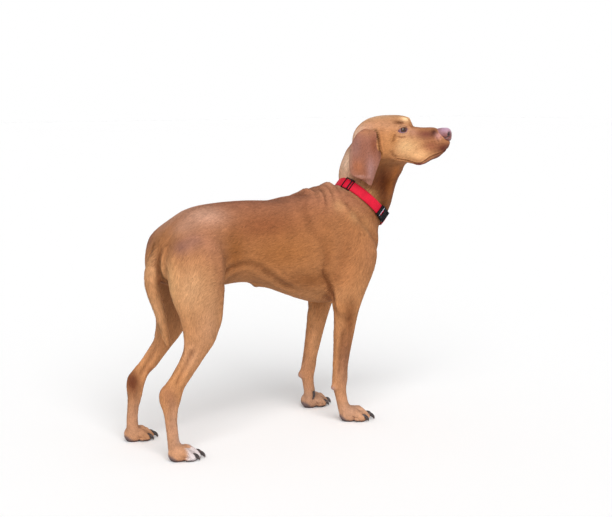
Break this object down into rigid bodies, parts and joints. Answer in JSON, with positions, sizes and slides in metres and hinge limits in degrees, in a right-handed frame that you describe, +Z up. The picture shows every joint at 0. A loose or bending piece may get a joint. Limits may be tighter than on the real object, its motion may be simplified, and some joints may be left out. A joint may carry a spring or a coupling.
{
  "type": "dog",
  "caption": "Life-size still model of a lean smooth-coated pointing dog, standing with its head turned to its right, in a webbing collar with a side-release buckle.",
  "frame": {"origin": "on the floor, below the middle of the box round the whole dog", "axes": "+X ahead along the trunk, +Y to the dog's left, +Z up; the head is turned 52 degrees to the dog's right"},
  "size_m": [0.7988, 0.3286, 0.7717],
  "materials": {
    "coat": "short, flat, glossy russet hair",
    "ear_coat": "thin, very short, darker hair",
    "nose_leather": "moist, finely pebbled, flesh brown",
    "eye": "clear, wet, dark amber",
    "claw": "dark brown horn",
    "collar_webbing": "red woven webbing",
    "collar_plastic": "black moulded plastic, satin"
  },
  "bodies": {
    "root": {"head": "coat", "neck": "coat", "chest": "coat", "abdomen": "coat", "rump": "coat", "tail_root": "coat", "tail_tip": "coat", "lower_jaw": "coat", "ear_right": "ear_coat", "ear_left": "ear_coat", "nose": "nose_leather", "eye_right": "eye", "eye_left": "eye", "right_shoulder": "coat", "right_forearm": "coat", "right_fore_paw": "coat", "right_thigh": "coat", "right_lower_leg": "coat", "right_hock": "coat", "right_hind_paw": "coat", "left_shoulder": "coat", "left_forearm": "coat", "left_fore_paw": "coat", "left_thigh": "coat", "left_lower_leg": "coat", "left_hock": "coat", "left_hind_paw": "coat", "right_fore_claw_outer": "claw", "right_fore_claw_middle_outer": "claw", "right_fore_claw_middle_inner": "claw", "right_fore_claw_inner": "claw", "right_hind_claw_outer": "claw", "right_hind_claw_middle_outer": "claw", "right_hind_claw_middle_inner": "claw", "right_hind_claw_inner": "claw", "left_fore_claw_outer": "claw", "left_fore_claw_middle_outer": "claw", "left_fore_claw_middle_inner": "claw", "left_fore_claw_inner": "claw", "left_hind_claw_outer": "claw", "left_hind_claw_middle_outer": "claw", "left_hind_claw_middle_inner": "claw", "left_hind_claw_inner": "claw", "right_dewclaw": "claw", "left_dewclaw": "claw", "collar_strap": "collar_webbing", "collar_slider": "collar_plastic", "collar_buckle_socket": "collar_plastic", "collar_buckle_plug": "collar_plastic"}
  },
  "joints": []
}
